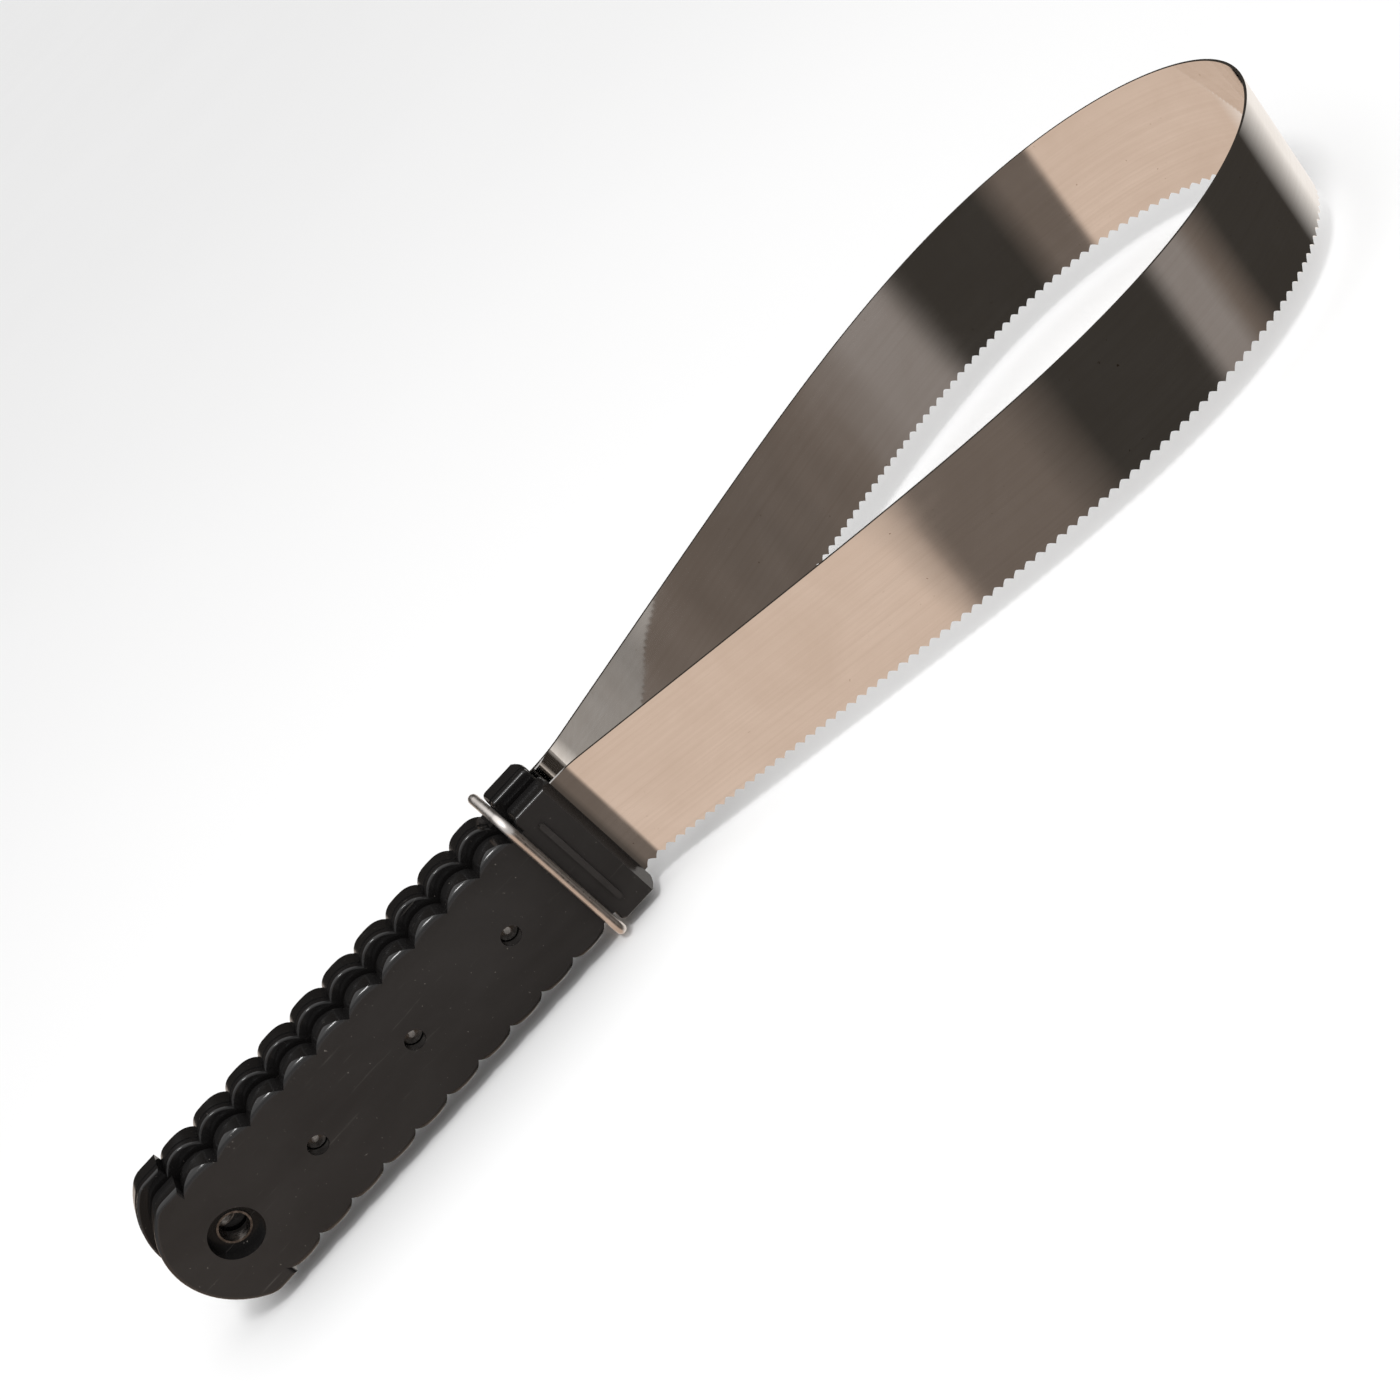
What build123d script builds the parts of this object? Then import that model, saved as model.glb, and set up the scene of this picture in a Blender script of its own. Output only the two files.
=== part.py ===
"""Shedding blade: a toothed spring strip bent into a loop, with its two ends clamped in two
scalloped handles that lie back to back and are held shut by a sliding wire ring.

Frame, in millimetres: the origin is the middle of the front handle's hanging hole, on the strip.
+X runs along the handles towards the loop, +Y from the front handle to the rear one, and +Z from
the toothed edge to the smooth edge.
"""
import os
from math import cos, radians, sin

from build123d import *

# Handle outline, in the XZ plane
LOBE_PITCH = 9.5
LOBES = 10
CUSP_HALF = 14.05          # half width at the cusps between two lobes
LOBE_RISE = 2.4            # how far a lobe stands out past the cusps
TAIL_REACH = 14.5          # hanging hole to the end of the tail
TAIL_HALF = 16.6
TAIL_END_R = 19.4
TAIL_CORNER_R = 5.0
TAIL_SHOULDER = 0.5
HEAD_START = 98.2
HEAD_END = 108.8
HEAD_HALF = 17.3
HEAD_CORNER_R = 1.2

# Handle thickness, across the strip
OUTER_T = 4.5
INNER_T = 2.1
HANDLE_GAP = 0.9           # between the two handles' flat inner faces
FACE_RISE = 0.9            # how far a lobe stands out at the outer face, where it is rounded off
TAIL_RIM_R = 0.9
HEAD_RIM_R = 0.5
HEAD_SLOPE = 1.9           # how far the outer face stops short of the head's sloping end
INNER_RIM_R = 0.5          # rounded edge of the inner face
PARTING_STEP = 0.2         # how far the inner shell stands in from the outer one
CREASE = 0.10              # depth of the shallow crease that joins two opposite cusps

# The rear handle lies a little off the front one
REAR_BACK = 1.0            # towards the tail
REAR_UP = 2.6              # towards the smooth edge

# Hanging hole, its eyelet, and the rivets
COUNTERBORE_R = 5.9
COUNTERBORE_DEPTH = 2.9
EYELET_BORE_R = 3.2
EYELET_WALL = 0.3
EYELET_FLANGE_R = 3.65
RIVET_LOBES = (2.5, 5.5, 8.5)   # rivet places, counted in lobe pitches from the hanging hole
RECESS_R = 2.3
OUTER_RECESS = 3.3
INNER_RECESS = 0.8
RIVET_FLANGE_R = 2.1
RIVET_FLANGE_T = 0.4
RIVET_SHANK_R = 1.5
RIVET_BORE_R = 0.8
SEAT = 0.05                # clearance round the eyelet, the rivets and the tang

# Detent rib across the head
RIB_X = 101.5
RIB_HALF = 12.5
RIB_WIDTH = 1.3
RIB_HEIGHT = 0.7

# Strip
STRIP_W = 29.9
STRIP_T = 0.6
TANG_HALF = 12.0
TANG_START = 7.0
TANG_SHOULDER = 100.0
HALF_LOOP = 224.0          # strip length from one handle to the middle of the loop's far end
SECTIONS = 6               # rigid stretches that the loop bends between
STRAIGHTNESS = 3.8         # power by which the strip's turning gathers at the far end
ARCS = 4                   # arcs that make up one section
GATHER = 0.8               # power by which the sections shorten towards the far end
EXIT_BEND_R = 24.0         # where the strip turns out of the handle
HINGE_GAP = 0.1
TOOTH_PITCH = 2.7
TOOTH_DEPTH = 1.2
TOOTH_TIP = 0.16

# Wire ring
WIRE_R = 1.15
RING_X = 96.6              # front leg; the rear leg lies further back, with the rear handle
RING_TOP = 17.95           # inside of the front leg's upper end
RING_BOTTOM = -17.95       # inside of the front leg's lower end
RING_RISE = 2.6            # how much higher the rear leg lies, with the rear handle
RING_EASE = 0.35           # play between the ring and the handles' outer faces
RING_CORNER_R = 3.6

HALF = SECTIONS // 2
REAR_Y = 2 * INNER_T + HANDLE_GAP          # the rear tang's plane
MID_Y = REAR_Y / 2
GRIP_END = LOBES * LOBE_PITCH
REAR_MOVE = Pos(-REAR_BACK, 0, REAR_UP)


# ---------------------------------------------------------------- handle shells

def lobe_arc(rise):
    """Radius of an arc from cusp to cusp, and how far its centre lies from the middle line."""
    radius = (LOBE_PITCH ** 2 / 4 + rise ** 2) / (2 * rise)
    return radius, CUSP_HALF + rise - radius


def between(x0, x1, width):
    """A rectangle from x0 to x1, centred across the handle."""
    return Pos((x0 + x1) / 2, 0) * Rectangle(x1 - x0, width)


def tail_outline():
    end = Pos(TAIL_END_R - TAIL_REACH, 0) * Circle(TAIL_END_R)
    band = Pos(TAIL_SHOULDER - TAIL_END_R / 2, 0) * Rectangle(TAIL_END_R, 2 * TAIL_HALF)
    tail = end & band
    corners = tail.vertices().filter_by(lambda v: -TAIL_REACH < v.X < 0)
    return fillet(corners, TAIL_CORNER_R)


def head_outline():
    return fillet(between(HEAD_START, HEAD_END, 2 * HEAD_HALF).vertices(), HEAD_CORNER_R)


def slab(outline, thickness):
    """Positive thickness goes outwards, to -Y; negative goes inwards."""
    return extrude(Plane.XZ * outline, amount=thickness)


def rimmed(block, thickness, radius):
    """Rounds the edge round the block's face that lies thickness away from the strip."""
    edges = block.edges().filter_by_position(Axis.Y, -thickness - 0.01, -thickness + 0.01)
    return fillet(edges, radius)


def plain_lobe():
    """A lobe of the inner shell, at x = 0 on the upper side."""
    radius, reach = lobe_arc(LOBE_RISE)
    disc = slab(Circle(radius - PARTING_STEP), -INNER_T)
    return Pos(0, 0, reach) * rimmed(disc, -INNER_T, INNER_RIM_R)


def rounded_lobe():
    """A lobe of the outer shell: a disc under a flatter, rounded one."""
    radius, reach = lobe_arc(LOBE_RISE)
    flat_radius, flat_reach = lobe_arc(FACE_RISE)
    softness = LOBE_RISE - FACE_RISE
    cap = rimmed(slab(Circle(flat_radius + softness), OUTER_T), OUTER_T, softness)
    return Pos(0, 0, reach) * slab(Circle(radius), OUTER_T) & Pos(0, 0, flat_reach) * cap


def plate(thickness, lobe, tail_rim, head_rim, inset):
    """Tail, ten pairs of lobes, plain neck and head in one; the lobes meet in the cusps."""
    core = slab(between(-2, RIB_X, 2 * lobe_arc(LOBE_RISE)[1] + 4), thickness)
    neck = slab(between(GRIP_END, RIB_X, 2 * (CUSP_HALF - inset)), thickness)
    tail = rimmed(slab(offset(tail_outline(), -inset), thickness), thickness, tail_rim)
    head = rimmed(slab(offset(head_outline(), -inset), thickness), thickness, head_rim)
    pair = [lobe, mirror(lobe, Plane.XY)]
    lobes = [Pos(LOBE_PITCH * (i + 0.5), 0, 0) * one for i in range(LOBES) for one in pair]
    return core + neck + tail + head + lobes


def head_slope():
    """What the sloping end face takes off the head."""
    high = -OUTER_T - 1
    start = HEAD_END - HEAD_SLOPE
    corners = [(start, high), (HEAD_END + 1, high), (HEAD_END + 1, -1), (HEAD_END, -1), (start, -OUTER_T)]
    return extrude(Polygon(*corners, align=None), amount=HEAD_HALF + 1, both=True)


def creases():
    """Shallow V across the outer face at each pair of cusps."""
    vee = Polygon((-4 * CREASE, 0), (0, CREASE), (4 * CREASE, 0), align=None)
    spots = [LOBE_PITCH * i for i in range(1, LOBES)]
    flat = Plane(origin=(0, -OUTER_T, -CUSP_HALF), x_dir=(1, 0, 0), z_dir=(0, 0, 1))
    return [extrude(flat * Pos(x, 0) * vee, amount=2 * CUSP_HALF) for x in spots]


def detent_rib():
    rib = Pos(RIB_X, 0) * Rot(0, 0, 90) * SlotOverall(2 * RIB_HALF, RIB_WIDTH)
    return slab(rib, OUTER_T + RIB_HEIGHT) & Pos(RIB_X, -OUTER_T, 0) * Box(9, 2 * RIB_HEIGHT, 40)


def round_hole(x, radius, y0, y1):
    """A cylinder along Y, between two heights across the handle."""
    return Pos(x, (y0 + y1) / 2, 0) * Rot(90, 0, 0) * Cylinder(radius, y1 - y0)


def rivet_places():
    return [LOBE_PITCH * k for k in RIVET_LOBES]


def tang_pocket():
    """Room for the strip's end, half its thickness deep in each shell."""
    narrow = Pos((TANG_START + HEAD_END) / 2, 0, 0)
    wide = Pos((TANG_SHOULDER + HEAD_END) / 2 + 1, 0, 0)
    long = HEAD_END - TANG_START
    short = HEAD_END - TANG_SHOULDER + 2
    thick = STRIP_T
    return [narrow * Box(long + 2 * SEAT, thick, 2 * (TANG_HALF + SEAT)),
            wide * Box(short + 2 * SEAT, thick, STRIP_W + 2 * SEAT)]


def outer_shell():
    body = plate(OUTER_T, rounded_lobe(), TAIL_RIM_R, HEAD_RIM_R, 0)
    body = body - head_slope() - creases() + detent_rib()
    body -= round_hole(0, COUNTERBORE_R, -OUTER_T - 1, COUNTERBORE_DEPTH - OUTER_T)
    body -= round_hole(0, EYELET_BORE_R + EYELET_WALL + SEAT, -OUTER_T, 1)
    for x in rivet_places():
        body -= round_hole(x, RECESS_R, -OUTER_T - 1, OUTER_RECESS - OUTER_T)
        body -= round_hole(x, RIVET_SHANK_R + SEAT, -OUTER_T, 1)
    return body - tang_pocket()


def inner_shell():
    body = plate(-INNER_T, plain_lobe(), INNER_RIM_R, INNER_RIM_R, PARTING_STEP)
    body -= round_hole(0, EYELET_BORE_R + EYELET_WALL + SEAT, -1, INNER_T + 1)
    for x in rivet_places():
        body -= round_hole(x, RECESS_R, INNER_T - INNER_RECESS, INNER_T + 1)
        body -= round_hole(x, RIVET_SHANK_R + SEAT, -1, INNER_T)
    return body - tang_pocket()


# ---------------------------------------------------------------- fasteners

def eyelet():
    floor = COUNTERBORE_DEPTH - OUTER_T
    flange = round_hole(0, EYELET_FLANGE_R, floor - EYELET_WALL, floor)
    tube = round_hole(0, EYELET_BORE_R + EYELET_WALL, floor - EYELET_WALL, INNER_T)
    return flange + tube - round_hole(0, EYELET_BORE_R, -OUTER_T, INNER_T + 1)


def rivet(x):
    low = OUTER_RECESS - OUTER_T
    high = INNER_T - INNER_RECESS
    shank = round_hole(x, RIVET_SHANK_R, low - RIVET_FLANGE_T, high + RIVET_FLANGE_T)
    outer = round_hole(x, RIVET_FLANGE_R, low - RIVET_FLANGE_T, low)
    inner = round_hole(x, RIVET_FLANGE_R, high, high + RIVET_FLANGE_T)
    return shank + outer + inner - round_hole(x, RIVET_BORE_R, -OUTER_T, INNER_T)


# ---------------------------------------------------------------- strip

def step(spot, heading, length, turn):
    """The end of an arc of strip that starts at spot, in degrees."""
    if abs(turn) < 1e-6:
        way = radians(heading)
        return (spot[0] + length * cos(way), spot[1] + length * sin(way)), heading
    chord = 2 * length / radians(turn) * sin(radians(turn) / 2)
    way = radians(heading + turn / 2)
    return (spot[0] + chord * cos(way), spot[1] + chord * sin(way)), heading + turn


def half_runs(exit_bend):
    """Each section of one half of the loop as arcs (length, turn), from the handle to the far end."""
    total = 90 + exit_bend
    sections = []
    for i in range(HALF):
        marks = [((i + j / ARCS) / HALF) ** GATHER for j in range(ARCS + 1)]
        sections.append([(HALF_LOOP * (b - a), total * (b ** STRAIGHTNESS - a ** STRAIGHTNESS))
                         for a, b in zip(marks, marks[1:])])
    return sections


def exit_length(exit_bend):
    return EXIT_BEND_R * radians(exit_bend)


def far_end_y(exit_bend):
    """Where the middle of the far end lies, across the handles, for a given exit bend."""
    spot, heading = step((HEAD_END, 0), 0, exit_length(exit_bend), -exit_bend)
    for length, turn in sum(half_runs(exit_bend), []):
        spot, heading = step(spot, heading, length, turn)
    return spot[1]


def closing_bend():
    """The exit bend, in degrees, that brings the loop's far end midway between the handles."""
    low, high = 5.0, 40.0
    for _ in range(40):
        bend = (low + high) / 2
        if far_end_y(bend) > MID_Y:
            low = bend
        else:
            high = bend
    return bend


EXIT_BEND = closing_bend()


def section_runs():
    """Each section of the loop as a list of arcs (length, turn), from the front handle round."""
    half_exit = (exit_length(EXIT_BEND) / 2, -EXIT_BEND / 2)
    near = half_runs(EXIT_BEND)
    near[0].insert(0, half_exit)
    far = [list(reversed(runs)) for runs in reversed(near)]
    return near + far


def strip_starts():
    """Where each section starts: (spot, heading) on the strip's middle surface."""
    spot, heading = step((HEAD_END, 0), 0, exit_length(EXIT_BEND) / 2, -EXIT_BEND / 2)
    starts = [(spot, heading)]
    for runs in section_runs():
        for length, turn in runs:
            spot, heading = step(spot, heading, length, turn)
        starts.append((spot, heading))
    return starts


def shifted(spot, heading, offset):
    """A point beside the strip's middle surface, positive towards the outside of the loop."""
    way = radians(heading)
    return spot[0] + offset * sin(way), spot[1] - offset * cos(way)


def arc_face(spot, heading, length, turn):
    """One stretch of the strip seen along its width."""
    marks = [(spot, heading), step(spot, heading, length / 2, turn / 2), step(spot, heading, length, turn)]
    outside = [shifted(*mark, STRIP_T / 2) for mark in marks]
    inside = [shifted(*mark, -STRIP_T / 2) for mark in reversed(marks)]
    sides = [Line(outside[2], inside[0]), Line(inside[2], outside[0])]
    return make_face([ThreePointArc(*outside), ThreePointArc(*inside)] + sides)


def notch(spot, heading, low):
    """The gap between two teeth, cut across the strip's thickness."""
    half = (TOOTH_PITCH - TOOTH_TIP) / 2
    way = radians(heading)
    plane = Plane(origin=(spot[0], spot[1], low), x_dir=(cos(way), sin(way), 0), z_dir=(sin(way), -cos(way), 0))
    vee = plane * Polygon((-half, -0.3), (-half, 0), (0, TOOTH_DEPTH), (half, 0), (half, -0.3), align=None)
    return extrude(vee, amount=STRIP_T, both=True)


def place_along(runs, spot, heading, distance):
    for length, turn in runs:
        if distance <= length:
            return step(spot, heading, distance, turn * distance / length)
        spot, heading = step(spot, heading, length, turn)
        distance -= length
    return spot, heading


def strip_section(index):
    """One rigid stretch of the loop, raised by its share of the rear handle's offset."""
    runs = section_runs()[index]
    spot, heading = strip_starts()[index]
    total = sum(length for length, _ in runs)
    low = REAR_UP * (index + 0.5) / SECTIONS - STRIP_W / 2
    body = None
    left = HINGE_GAP / 2
    for number, (length, turn) in enumerate(runs):
        trimmed = length - left * (number == 0) - left * (number == len(runs) - 1)
        start, start_heading = place_along(runs[number:], spot, heading, left * (number == 0))
        face = arc_face(start, start_heading, trimmed, turn * trimmed / length)
        piece = extrude(Pos(0, 0, low) * face, amount=STRIP_W, dir=(0, 0, 1))
        body = piece if body is None else body + piece
        spot, heading = step(spot, heading, length, turn)
    spot, heading = strip_starts()[index]
    count = round(total / TOOTH_PITCH)
    places = [place_along(runs, spot, heading, total * (i + 0.5) / count) for i in range(count)]
    return body - [notch(p, h, low) for p, h in places]


def tang():
    """The end of the strip inside the front handle, up to the first hinge."""
    narrow = Pos((TANG_START + TANG_SHOULDER) / 2, 0, 0) * Box(TANG_SHOULDER - TANG_START, STRIP_T, 2 * TANG_HALF)
    wide = Pos((TANG_SHOULDER + HEAD_END) / 2, 0, 0) * Box(HEAD_END - TANG_SHOULDER, STRIP_T, STRIP_W)
    length = exit_length(EXIT_BEND) / 2
    kept = length - HINGE_GAP / 2
    bend = arc_face((HEAD_END, 0), 0, kept, -EXIT_BEND / 2 * kept / length)
    bend = extrude(Pos(0, 0, -STRIP_W / 2) * bend, amount=STRIP_W, dir=(0, 0, 1))
    body = narrow + wide + bend
    for x in rivet_places():
        body -= round_hole(x, RIVET_SHANK_R + SEAT, -1, 1)
    return body


def rear_lead():
    """The short straight stretch that reaches the rear handle, which lies further back."""
    spot = Pos(HEAD_END - REAR_BACK / 2, REAR_Y, REAR_UP)
    return spot * Box(REAR_BACK, STRIP_T, STRIP_W)


def to_rear(shape):
    """The same part in the rear handle: mirrored across the gap, then moved off line."""
    return REAR_MOVE * mirror(shape, Plane.XZ.offset(-MID_Y))


def rear_tang():
    """The rear tang's bend stays at the front one's X, so a straight lead joins it to the handle."""
    body = mirror(tang(), Plane.XZ.offset(-MID_Y))
    bend = Pos(0, 0, REAR_UP) * (body & Pos(HEAD_END + 10, MID_Y, 0) * Box(20, 40, 60))
    rest = REAR_MOVE * (body & Pos(HEAD_END - 60, MID_Y, 0) * Box(120, 40, 60))
    return bend + rest + rear_lead()


# ---------------------------------------------------------------- ring

def latch_ring():
    """Closed wire loop round both handles, leaning with them."""
    front = -OUTER_T - RING_EASE - WIRE_R
    rear = REAR_Y - front
    top = RING_TOP + WIRE_R
    bottom = RING_BOTTOM - WIRE_R
    back = RING_X - REAR_BACK
    corners = [(RING_X, front, bottom), (RING_X, front, top),
               (back, rear, top + RING_RISE), (back, rear, bottom + RING_RISE)]
    path = FilletPolyline(*corners, radius=RING_CORNER_R, close=True)
    edge = path.edges().sort_by(Axis.Y)[0]
    plane = Plane(origin=edge.position_at(0.5), z_dir=edge.tangent_at(0.5))
    return sweep(plane * Circle(WIRE_R), path=path)


# ---------------------------------------------------------------- hinges and output

def straightening():
    """How far each hinge turns to lay the strip out, in degrees.

    A hinge takes half of what bends on each side of it; the end hinges take all the exit bend.
    """
    near = [sum(turn for _, turn in runs) for runs in half_runs(EXIT_BEND)]
    turns = near + near[::-1]
    inside = [-(a + b) / 2 for a, b in zip(turns, turns[1:])]
    end = EXIT_BEND - turns[0] / 2
    return [end] + inside + [end]


def hinges():
    """Each hinge of the strip as (x, y, angle to straighten it), for whoever joins the pieces.

    It lies on the face that the strip bends away from, so that no two sections meet when it
    straightens.
    """
    places = []
    for (spot, heading), angle in zip(strip_starts(), straightening()):
        side = STRIP_T / 2 if angle < 0 else -STRIP_T / 2
        places.append((*shifted(spot, heading, side), angle))
    return places


def nodes():
    made = {
        "front_outer_shell": outer_shell(),
        "front_inner_shell": inner_shell(),
        "front_hang_eyelet": eyelet(),
    }
    for number, x in enumerate(rivet_places()):
        made[f"front_rivet_{number + 1}"] = rivet(x)
    for name in list(made):
        made[name.replace("front", "rear")] = to_rear(made[name])
    made["latch_ring"] = latch_ring()
    made["blade_front_tang"] = tang()
    made["blade_rear_tang"] = rear_tang()
    for index in range(SECTIONS):
        made[f"blade_section_{index + 1:02d}"] = strip_section(index)
    return made


def main():
    os.makedirs("parts", exist_ok=True)
    for name, shape in nodes().items():
        export_step(shape, f"parts/{name}.step")
    for number, (x, y, angle) in enumerate(hinges()):
        print(f"hinge {number}: x {x:.3f} y {y:.3f} straightens by {angle:.3f} degrees")


if __name__ == "__main__":
    main()
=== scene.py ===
"""The look of a shedding blade: a toothed spring strip in a loop, its ends in two scalloped handles."""
from math import cos, pi, radians, sin

import bpy
from mathutils import Matrix, Vector


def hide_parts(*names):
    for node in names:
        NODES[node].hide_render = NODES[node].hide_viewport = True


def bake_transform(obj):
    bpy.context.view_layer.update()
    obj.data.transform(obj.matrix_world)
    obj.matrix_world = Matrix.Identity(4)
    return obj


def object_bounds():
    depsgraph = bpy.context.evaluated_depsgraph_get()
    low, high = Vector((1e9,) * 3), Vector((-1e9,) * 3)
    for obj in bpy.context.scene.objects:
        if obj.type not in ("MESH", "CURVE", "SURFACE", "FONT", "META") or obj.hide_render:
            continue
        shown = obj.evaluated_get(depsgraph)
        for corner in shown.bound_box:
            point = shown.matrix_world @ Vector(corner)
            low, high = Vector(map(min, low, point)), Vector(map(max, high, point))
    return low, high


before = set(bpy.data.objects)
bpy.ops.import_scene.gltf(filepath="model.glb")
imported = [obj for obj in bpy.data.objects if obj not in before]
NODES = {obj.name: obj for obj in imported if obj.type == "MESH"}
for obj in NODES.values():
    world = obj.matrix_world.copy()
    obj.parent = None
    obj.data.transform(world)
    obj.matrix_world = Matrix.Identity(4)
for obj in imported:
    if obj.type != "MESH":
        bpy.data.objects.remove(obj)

CAD_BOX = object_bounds()
MM = 0.001

# The strip, in metres, as the frame has it
STRIP_WIDTH = 29.9 * MM
STRIP_THICK = 0.6 * MM
HANDLE_MOUTH = 108.8 * MM      # where the strip leaves the front handle
TANG_START = 7 * MM
TANG_SHOULDER = 100 * MM
TANG_HALF = 12 * MM
HALF_LOOP = 224 * MM
STRAIGHTNESS = 3.8             # power by which the strip's turning gathers at the far end
GATHER = 0.8                   # power by which the sections shorten towards the far end
EXIT_BEND_R = 24 * MM
REAR_UP = 2.6 * MM             # how much higher the strip lies at the rear handle
REAR_Y = 5.1 * MM              # plane of the rear tang
MOUTH_GAP = 0.8 * MM           # strip without teeth next to each handle
TOOTH_PITCH = 2.7 * MM
TOOTH_DEPTH = 1.2 * MM
TOOTH_COLUMNS = 10             # lines of points to a tooth
TOOTH_ROW = 1.8 * MM           # from the toothed edge to the first line of points above it
SMOOTH_ROW = 1.0 * MM          # from the smooth edge to the line of points below it
SHOULDER_STEP = 0.1 * MM       # length over which the tang narrows
OUTER_FACE = -4.5 * MM         # the front handle's flat outer face
SECTIONS = sum(name.startswith("blade_section") for name in NODES)
HALF = SECTIONS // 2

# Stage
FLOOR_DROP = 0.5 * MM
CAMERA_SPOT = (0.11644, -0.36614, 0.19326)
CAMERA_TURN = 4.05             # degrees, from +Y towards +X
CAMERA_DIP = 27.45             # degrees below level
CAMERA_ROLL = 45.4             # degrees
CAMERA_LENS = 51.43

# Studio tones
WARM_BOARD = (0.65, 0.50, 0.40)
BROWN_BOARD = (0.15, 0.12, 0.10)
GREY_BOARD = (0.25, 0.22, 0.20)
WHITE_BOARD = (0.95, 0.90, 0.85)
DARK_ROOM = (0.04, 0.035, 0.03)
DIM_ROOM = (0.25, 0.25, 0.25)
PALE_ROOM = (0.60, 0.60, 0.60)
OVERHEAD = (1.25, 1.25, 1.25)


# ---------------------------------------------------------------- small helpers

def clear_selection():
    if bpy.context.object and bpy.context.object.mode != "OBJECT":
        bpy.ops.object.mode_set(mode="OBJECT")
    bpy.ops.object.select_all(action="DESELECT")


def only(piece):
    clear_selection()
    piece.select_set(True)
    bpy.context.view_layer.objects.active = piece


def settle(piece):
    """Puts the piece's place into its mesh."""
    only(piece)
    bpy.ops.object.transform_apply(location=True, rotation=True, scale=True)


def apply_all(piece):
    only(piece)
    for modifier in list(piece.modifiers):
        bpy.ops.object.modifier_apply(modifier=modifier.name)


def finish_with(piece, material):
    piece.data.materials.clear()
    piece.data.materials.append(material)


# ---------------------------------------------------------------- materials

class Shade:
    """A material being wired up, node by node."""

    def __init__(self, name):
        self.material = bpy.data.materials.new(name)
        self.material.use_nodes = True
        self.tree = self.material.node_tree
        self.surface = self.tree.nodes["Principled BSDF"]
        self.place = self.node("ShaderNodeTexCoord").outputs["Object"]

    def node(self, kind, **inputs):
        made = self.tree.nodes.new(kind)
        for key, value in inputs.items():
            made.inputs[key.replace("_", " ")].default_value = value
        return made

    def join(self, out, into):
        self.tree.links.new(out, into)

    def stretched(self, scale):
        mapping = self.node("ShaderNodeMapping", Scale=scale)
        self.join(self.place, mapping.inputs["Vector"])
        return mapping.outputs["Vector"]

    def noise(self, scale, detail=4, roughness=0.55, stretch=None, distortion=0.0):
        noise = self.node("ShaderNodeTexNoise", Scale=scale, Detail=detail, Roughness=roughness,
                          Distortion=distortion)
        self.join(self.stretched(stretch) if stretch else self.place, noise.inputs["Vector"])
        return noise.outputs["Fac"]

    def between(self, value, low, high, out_low=0.0, out_high=1.0):
        span = self.node("ShaderNodeMapRange")
        span.clamp = True
        for key, number in (("From Min", low), ("From Max", high), ("To Min", out_low), ("To Max", out_high)):
            span.inputs[key].default_value = number
        self.join(value, span.inputs["Value"])
        return span.outputs["Result"]

    def math(self, how, a, b):
        made = self.node("ShaderNodeMath")
        made.operation = how
        for socket, value in zip(made.inputs, (a, b)):
            if isinstance(value, (int, float)):
                socket.default_value = value
            else:
                self.join(value, socket)
        return made.outputs[0]

    def tint(self, factor, dark, light):
        mix = self.tree.nodes.new("ShaderNodeMix")
        mix.data_type = "RGBA"
        for socket, value in ((mix.inputs[6], dark), (mix.inputs[7], light)):
            if isinstance(value, tuple):
                socket.default_value = (*value, 1)
            else:
                self.join(value, socket)
        self.join(factor, mix.inputs[0])
        return mix.outputs[2]

    def bump(self, height, distance, strength=1.0, under=None):
        made = self.node("ShaderNodeBump", Strength=strength, Distance=distance)
        self.join(height, made.inputs["Height"])
        if under is not None:
            self.join(under, made.inputs["Normal"])
        return made.outputs["Normal"]

    def set(self, **values):
        for key, value in values.items():
            self.surface.inputs[key.replace("_", " ")].default_value = value

    def feed(self, **links):
        for key, out in links.items():
            self.join(out, self.surface.inputs[key.replace("_", " ")])


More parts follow.
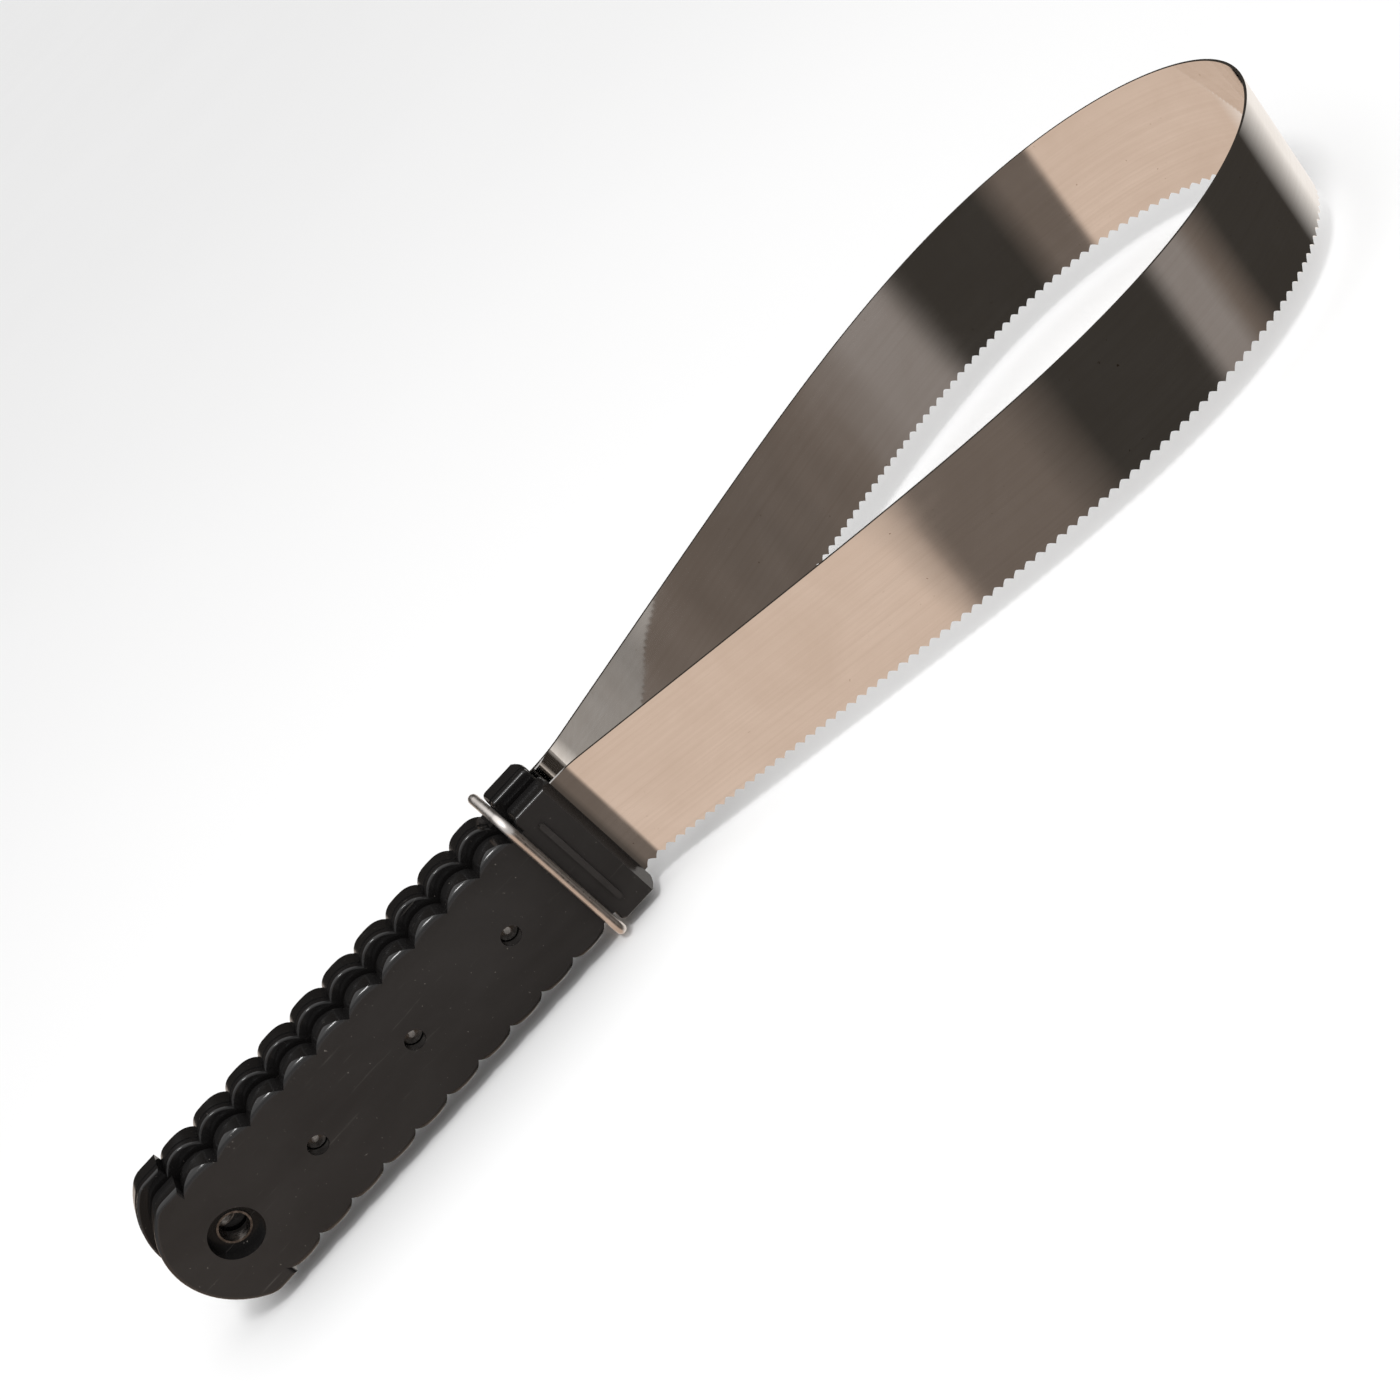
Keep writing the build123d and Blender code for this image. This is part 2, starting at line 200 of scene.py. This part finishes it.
def moulded_plastic():
    """Black moulded plastic: matt, finely textured flat faces painted grey as if lit, and glossy rounded side
    walls painted near-black as in shade.
    """
    s = Shade("moulded plastic")
    split = s.node("ShaderNodeSeparateXYZ")
    s.join(s.place, split.inputs[0])
    # Mask of the flat outer faces: it sets their matt finish and also their painted lighter tone.
    front = s.between(split.outputs["Y"], OUTER_FACE - 0.05 * MM, OUTER_FACE + 0.12 * MM, 1.0, 0.0)
    rear = s.between(split.outputs["Y"], REAR_Y - OUTER_FACE - 0.12 * MM, REAR_Y - OUTER_FACE + 0.05 * MM)
    face = s.math("MAXIMUM", front, rear)
    cloud = s.noise(30, detail=4)
    smear = s.noise(55, detail=6, roughness=0.6, stretch=(0.35, 1.0, 1.0), distortion=0.6)
    scratch = s.noise(1500, detail=3, stretch=(0.05, 1.0, 0.9))
    cross = s.noise(1300, detail=2, stretch=(0.9, 1.0, 0.06))
    dust = s.noise(1500, detail=2)
    # Painted light: the flat outer faces get a lighter grey as if lit, and the rounded sides a near-black as
    # in shade. The mottling within each tone is random.
    shaded_sides = s.tint(cloud, (0.0060, 0.0056, 0.0056), (0.0100, 0.0092, 0.0090))
    lit_flats = s.tint(s.between(smear, 0.30, 0.70), (0.0225, 0.0195, 0.0180), (0.0330, 0.0290, 0.0268))
    skin_and_shading = s.tint(face, shaded_sides, lit_flats)
    scored = s.math("MULTIPLY", s.between(scratch, 0.66, 0.74), s.between(cloud, 0.45, 0.6))
    skin_and_shading = s.tint(s.math("MULTIPLY", scored, 0.5), skin_and_shading, (0.085, 0.078, 0.070))
    specks = s.math("MULTIPLY", s.between(dust, 0.735, 0.76), s.between(smear, 0.40, 0.55))
    s.feed(Base_Color=s.tint(specks, skin_and_shading, (0.20, 0.18, 0.16)))
    gloss = s.between(smear, 0.30, 0.75, 0.12, 0.22)
    matt = s.between(smear, 0.30, 0.75, 0.34, 0.46)
    s.feed(Roughness=s.math("ADD", s.math("MULTIPLY", face, s.math("SUBTRACT", matt, gloss)), gloss))
    waves = s.bump(s.noise(120, detail=2), 0.00008, 0.25)
    scuffs = s.bump(s.math("ADD", scratch, cross), 0.000012, 0.30, under=waves)
    s.feed(Normal=s.bump(s.noise(2600, detail=2), 0.000010, 0.22, under=scuffs))
    s.set(IOR=1.5, Specular_IOR_Level=0.5)
    return s.material


def rolled_steel():
    """Bright spring strip: mirror-like, with faint lengthwise lines, cloudy patches and specks."""
    s = Shade("rolled steel")
    lines = s.noise(1100, detail=4, roughness=0.6, stretch=(0.012, 0.012, 1.0))
    streaks = s.noise(260, detail=4, roughness=0.6, stretch=(0.05, 0.05, 1.0))
    stain = s.noise(48, detail=5, roughness=0.6, distortion=0.4)
    speck = s.noise(900, detail=2)
    tone = s.tint(s.between(stain, 0.35, 0.70), (0.88, 0.86, 0.84), (0.97, 0.965, 0.96))
    tone = s.tint(s.between(lines, 0.40, 0.80, 0.0, 0.5), tone, (0.82, 0.79, 0.76))
    spotted = s.math("MULTIPLY", s.between(speck, 0.74, 0.78), s.between(stain, 0.45, 0.6))
    s.feed(Base_Color=s.tint(spotted, tone, (0.42, 0.34, 0.27)))
    rough = s.math("ADD", s.between(streaks, 0.3, 0.75, 0.03, 0.07), s.between(stain, 0.45, 0.75, 0.0, 0.06))
    s.feed(Roughness=rough)
    s.set(Metallic=1.0)
    s.feed(Normal=s.bump(s.noise(26, detail=2, stretch=(1, 1, 0.4)), 0.0008, 0.40))
    return s.material


def drawn_wire():
    """Satin wire, faintly pink-grey, with a soft drawn grain."""
    s = Shade("drawn wire")
    grain = s.noise(1500, detail=4)
    patch = s.noise(160, detail=4)
    s.feed(Base_Color=s.tint(s.between(patch, 0.35, 0.7), (0.62, 0.575, 0.54), (0.80, 0.755, 0.72)))
    s.feed(Roughness=s.between(grain, 0.3, 0.7, 0.26, 0.40))
    s.set(Metallic=1.0)
    s.feed(Normal=s.bump(grain, 0.00002, 0.4))
    return s.material


def plated_metal_painted_dark():
    """Plating on the eyelets and rivets, painted dark to stand in for the shade in their holes, brighter in
    random rubbed patches.
    """
    s = Shade("plated metal")
    haze = s.noise(700, detail=4)
    # Painted shade: both tones are kept dark so that the rivets and eyelets look shaded deep in their holes.
    s.feed(Base_Color=s.tint(s.between(haze, 0.35, 0.7), (0.20, 0.18, 0.165), (0.42, 0.385, 0.36)))
    s.feed(Roughness=s.between(haze, 0.3, 0.7, 0.18, 0.34))
    s.set(Metallic=1.0)
    s.feed(Normal=s.bump(haze, 0.00002, 0.4))
    return s.material


def pale_floor():
    s = Shade("pale floor")
    cloud = s.noise(3, detail=2)
    s.feed(Base_Color=s.tint(cloud, (0.92, 0.92, 0.92), (0.95, 0.95, 0.95)))
    s.set(Roughness=0.9)
    return s.material


# ---------------------------------------------------------------- strip

def half_way(mark, exit_bend):
    """Heading, in radians, at a distance along one half of the loop, 0 to 1."""
    return radians((90 + exit_bend) * mark ** STRAIGHTNESS - exit_bend)


def exit_length(exit_bend):
    return EXIT_BEND_R * radians(exit_bend)


def heading_at(s, exit_bend):
    """Heading of the strip at a distance s from the front handle's mouth, round to the rear one."""
    bend = exit_length(exit_bend)
    middle = bend + HALF_LOOP
    if s > middle:
        return pi - heading_at(2 * middle - s, exit_bend)
    if s <= 0:
        return 0.0
    if s < bend:
        return -radians(exit_bend) * s / bend
    return half_way((s - bend) / HALF_LOOP, exit_bend)


def trace(exit_bend, steps=1200):
    """Points along the strip's middle, from mouth to mouth, with how far along each one is."""
    length = 2 * (exit_length(exit_bend) + HALF_LOOP)
    spot = Vector((HANDLE_MOUTH, 0))
    line = [(0.0, spot.copy())]
    for i in range(steps):
        way = heading_at((i + 0.5) * length / steps, exit_bend)
        spot = spot + Vector((cos(way), sin(way))) * length / steps
        line.append(((i + 1) * length / steps, spot.copy()))
    return length, line


def closing_bend():
    """The exit bend that brings the two ends of the strip to their two handles."""
    low, high = 5.0, 40.0
    for _ in range(24):
        bend = (low + high) / 2
        line = trace(bend, 300)[1]
        if line[-1][1].y > REAR_Y:
            low = bend
        else:
            high = bend
    return bend


EXIT_BEND = closing_bend()
LOOP_LENGTH, LOOP_LINE = trace(EXIT_BEND)


def on_loop(s):
    """(point, heading) on the strip's middle surface, in plan; the ends run straight into the handles."""
    if s <= 0:
        return Vector((HANDLE_MOUTH + s, 0)), 0.0
    if s >= LOOP_LENGTH:
        return Vector((LOOP_LINE[-1][1].x - (s - LOOP_LENGTH), REAR_Y)), pi
    step = LOOP_LENGTH / (len(LOOP_LINE) - 1)
    i = min(int(s / step), len(LOOP_LINE) - 2)
    share = s / step - i
    return LOOP_LINE[i][1].lerp(LOOP_LINE[i + 1][1], share), heading_at(s, EXIT_BEND)


def wrap_onto_loop(piece):
    """Bends a flat strip, drawn along X with its length as distance, round the loop."""
    for vertex in piece.data.vertices:
        s, side, up = vertex.co
        spot, way = on_loop(s)
        rise = REAR_UP * min(max(s / LOOP_LENGTH, 0), 1)
        vertex.co = (spot.x + side * -sin(way), spot.y + side * cos(way), up + rise)


def tooth_spacing():
    teeth = round((LOOP_LENGTH - 2 * MOUTH_GAP) / TOOTH_PITCH)
    return teeth, (LOOP_LENGTH - 2 * MOUTH_GAP) / teeth


def tooth_line(s):
    """How far the toothed edge stands in from the tooth tips: pointed teeth, rounded gullets."""
    teeth, pitch = tooth_spacing()
    along = (s - MOUTH_GAP) / pitch
    if along <= 0 or along >= teeth:
        return 0.0
    share = along % 1
    return TOOTH_DEPTH * 0.5 * (sin(pi * share) + 1 - abs(2 * share - 1))


def section_marks():
    """How far along the strip each section of the frame ends."""
    bend = exit_length(EXIT_BEND)
    near = [bend + HALF_LOOP * (i / HALF) ** GATHER for i in range(HALF + 1)]
    near[0] = bend / 2
    far = [LOOP_LENGTH - s for s in reversed(near[:-1])]
    return near + far


def piece_ends():
    """Where the strip is cut into pieces: the middle of each section, on a tooth's tip."""
    marks = section_marks()
    middles = [(a + b) / 2 for a, b in zip(marks, marks[1:])]
    pitch = tooth_spacing()[1]
    cuts = [MOUTH_GAP + pitch * round((m - MOUTH_GAP) / pitch) for m in middles]
    inside = HANDLE_MOUTH - TANG_START
    return [-inside] + cuts + [LOOP_LENGTH + inside]


def columns(start, end):
    """Where the flat strip has a line of points: many in the teeth, and few in the tang."""
    teeth, pitch = tooth_spacing()
    toothed = [MOUTH_GAP + pitch * i / TOOTH_COLUMNS for i in range(teeth * TOOTH_COLUMNS + 1)]
    shoulder = HANDLE_MOUTH - TANG_SHOULDER
    far = LOOP_LENGTH + shoulder
    plain = [-shoulder - SHOULDER_STEP, -shoulder, 0.0, LOOP_LENGTH, far, far + SHOULDER_STEP]
    tiny = 0.01 * MM
    inner = [s for s in plain + toothed if start + tiny < s < end - tiny]
    return sorted([start] + inner + [end])


def in_tang(s):
    """Whether a place along the strip is past the shoulder, where the strip is narrower."""
    past = HANDLE_MOUTH - TANG_SHOULDER + SHOULDER_STEP / 2
    return s < -past or s > LOOP_LENGTH + past


def strip_piece(name, start, end):
    """One stretch of the strip: a flat grid, its lower edge cut to teeth, thickened, then bent."""
    spots = columns(start, end)
    clear_selection()
    bpy.ops.mesh.primitive_grid_add(x_subdivisions=len(spots) - 1, y_subdivisions=4, size=2)
    piece = bpy.context.object
    piece.name = name
    piece.data.name = name
    half = STRIP_WIDTH / 2
    rows = (-half, -half + TOOTH_ROW, 0.0, half - SMOOTH_ROW, half)
    for vertex in piece.data.vertices:
        column = round((vertex.co.x + 1) / 2 * (len(spots) - 1))
        row = round((vertex.co.y + 1) / 2 * 4)
        s = spots[column]
        up = rows[row]
        if in_tang(s):
            up *= TANG_HALF / half
        elif row == 0:
            up += tooth_line(s)
        vertex.co = (s, 0, up)
    thick = piece.modifiers.new("thickness", "SOLIDIFY")
    thick.thickness = STRIP_THICK
    thick.offset = 0
    thick.use_even_offset = False
    apply_all(piece)
    wrap_onto_loop(piece)
    only(piece)
    bpy.ops.object.mode_set(mode="EDIT")
    bpy.ops.mesh.select_all(action="SELECT")
    bpy.ops.mesh.normals_make_consistent(inside=False)
    bpy.ops.object.mode_set(mode="OBJECT")
    bpy.ops.object.shade_smooth_by_angle(angle=radians(35))
    return piece


def spring_strip(material):
    """The whole strip, in pieces that each bend across one hinge."""
    ends = piece_ends()
    for number, (start, end) in enumerate(zip(ends, ends[1:])):
        piece = strip_piece(f"spring_strip_{number + 1:02d}", start, end)
        finish_with(piece, material)
        covered = [f"blade_section_{number + 1:02d}"] if number < SECTIONS else ["blade_rear_tang"]
        if number == 0:
            covered.append("blade_front_tang")
        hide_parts(*covered)
        first = on_loop(max(start, 0))[0]
        last = on_loop(min(end, LOOP_LENGTH))[0]
        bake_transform(piece)


# ---------------------------------------------------------------- stage

class Sky:
    """The surroundings being wired up: tones round the compass, blended by height."""

    def __init__(self):
        world = bpy.data.worlds.new("studio")
        bpy.context.scene.world = world
        world.use_nodes = True
        self.tree = world.node_tree
        self.background = self.tree.nodes["Background"]
        place = self.tree.nodes.new("ShaderNodeTexCoord")
        self.split = self.tree.nodes.new("ShaderNodeSeparateXYZ")
        self.tree.links.new(place.outputs["Generated"], self.split.inputs[0])
        turn = self.tree.nodes.new("ShaderNodeMath")
        turn.operation = "ARCTAN2"
        self.tree.links.new(self.split.outputs["Y"], turn.inputs[0])
        self.tree.links.new(self.split.outputs["X"], turn.inputs[1])
        self.compass = self.scaled(turn.outputs[0], -pi, pi)

    def scaled(self, value, low, high):
        span = self.tree.nodes.new("ShaderNodeMapRange")
        span.inputs["From Min"].default_value = low
        span.inputs["From Max"].default_value = high
        self.tree.links.new(value, span.inputs["Value"])
        return span.outputs["Result"]

    def ring(self, tones):
        """Colours by direction: each tone is an angle from +X towards +Y, and its colour."""
        ramp = self.tree.nodes.new("ShaderNodeValToRGB")
        stops = ramp.color_ramp.elements
        while len(stops) < len(tones):
            stops.new(0.5)
        for stop, (angle, colour) in zip(stops, tones):
            stop.position = (angle + 180) / 360
            stop.color = (*colour, 1)
        self.tree.links.new(self.compass, ramp.inputs[0])
        return ramp.outputs[0]

    def blend(self, under, over, low, high):
        """One set of tones below a height (sine of the angle above level), another above it."""
        mix = self.tree.nodes.new("ShaderNodeMix")
        mix.data_type = "RGBA"
        self.tree.links.new(self.scaled(self.split.outputs["Z"], low, high), mix.inputs[0])
        for socket, tone in ((mix.inputs[6], under), (mix.inputs[7], over)):
            if isinstance(tone, tuple):
                socket.default_value = (*tone, 1)
            else:
                self.tree.links.new(tone, socket)
        return mix.outputs[2]


def world_light():
    """A studio: warm, brown, grey and white boards low down, dark between them, and white overhead."""
    sky = Sky()
    boards = sky.ring((
        (-180, WARM_BOARD), (-115, WARM_BOARD), (-112, BROWN_BOARD), (-100, BROWN_BOARD), (-90, DARK_ROOM),
        (-65, DARK_ROOM), (-60, GREY_BOARD), (-52, GREY_BOARD), (-46, BROWN_BOARD), (-35, DARK_ROOM),
        (0, DARK_ROOM), (30, WHITE_BOARD), (95, WHITE_BOARD), (135, WARM_BOARD), (180, WARM_BOARD),
    ))
    room = sky.ring((
        (-180, PALE_ROOM), (-60, PALE_ROOM), (20, DIM_ROOM), (55, DARK_ROOM),
        (125, DARK_ROOM), (165, DIM_ROOM), (180, PALE_ROOM),
    ))
    low = sky.blend(boards, room, -0.16, -0.06)
    whole = sky.blend(low, OVERHEAD, 0.50, 0.72)
    sky.tree.links.new(whole, sky.background.inputs["Color"])
    sky.background.inputs["Strength"].default_value = 1.0


def soft_light(name, spot, target, size, power):
    light = bpy.data.lights.new(name, "AREA")
    light.energy = power
    light.size = size
    holder = bpy.data.objects.new(name, light)
    bpy.context.collection.objects.link(holder)
    holder.location = spot
    way = Vector(target) - Vector(spot)
    holder.rotation_euler = way.to_track_quat("-Z", "Y").to_euler()


def floor(material):
    clear_selection()
    low = CAD_BOX[0]
    bpy.ops.mesh.primitive_plane_add(size=80, location=(0.15, 0, low[2] - FLOOR_DROP))
    plane = bpy.context.object
    plane.name = "floor"
    settle(plane)
    plane.data.materials.append(material)
    plane.visible_glossy = False


def camera():
    data = bpy.data.cameras.new("camera")
    data.lens = CAMERA_LENS
    data.sensor_width = 36
    holder = bpy.data.objects.new("camera", data)
    bpy.context.collection.objects.link(holder)
    aim = (Matrix.Rotation(radians(-CAMERA_TURN), 4, "Z") @ Matrix.Rotation(radians(90 - CAMERA_DIP), 4, "X")
           @ Matrix.Rotation(radians(-CAMERA_ROLL), 4, "Z"))
    holder.matrix_world = Matrix.Translation(CAMERA_SPOT) @ aim
    bpy.context.scene.camera = holder


def stage():
    camera()
    floor(pale_floor())
    world_light()
    soft_light("rim softbox", (0.05, -0.35, 0.75), (0.12, 0, 0), 0.16, 2.0)
    bpy.context.scene.view_settings.view_transform = "Standard"


def finish_frame_pieces():
    plastic = moulded_plastic()
    shaded_plating = plated_metal_painted_dark()
    wire = drawn_wire()
    for name, piece in NODES.items():
        if name.endswith("shell"):
            finish_with(piece, plastic)
        elif "eyelet" in name or "rivet" in name:
            finish_with(piece, shaded_plating)
        elif name == "latch_ring":
            finish_with(piece, wire)


def main():
    stage()
    finish_frame_pieces()
    spring_strip(rolled_steel())


main()
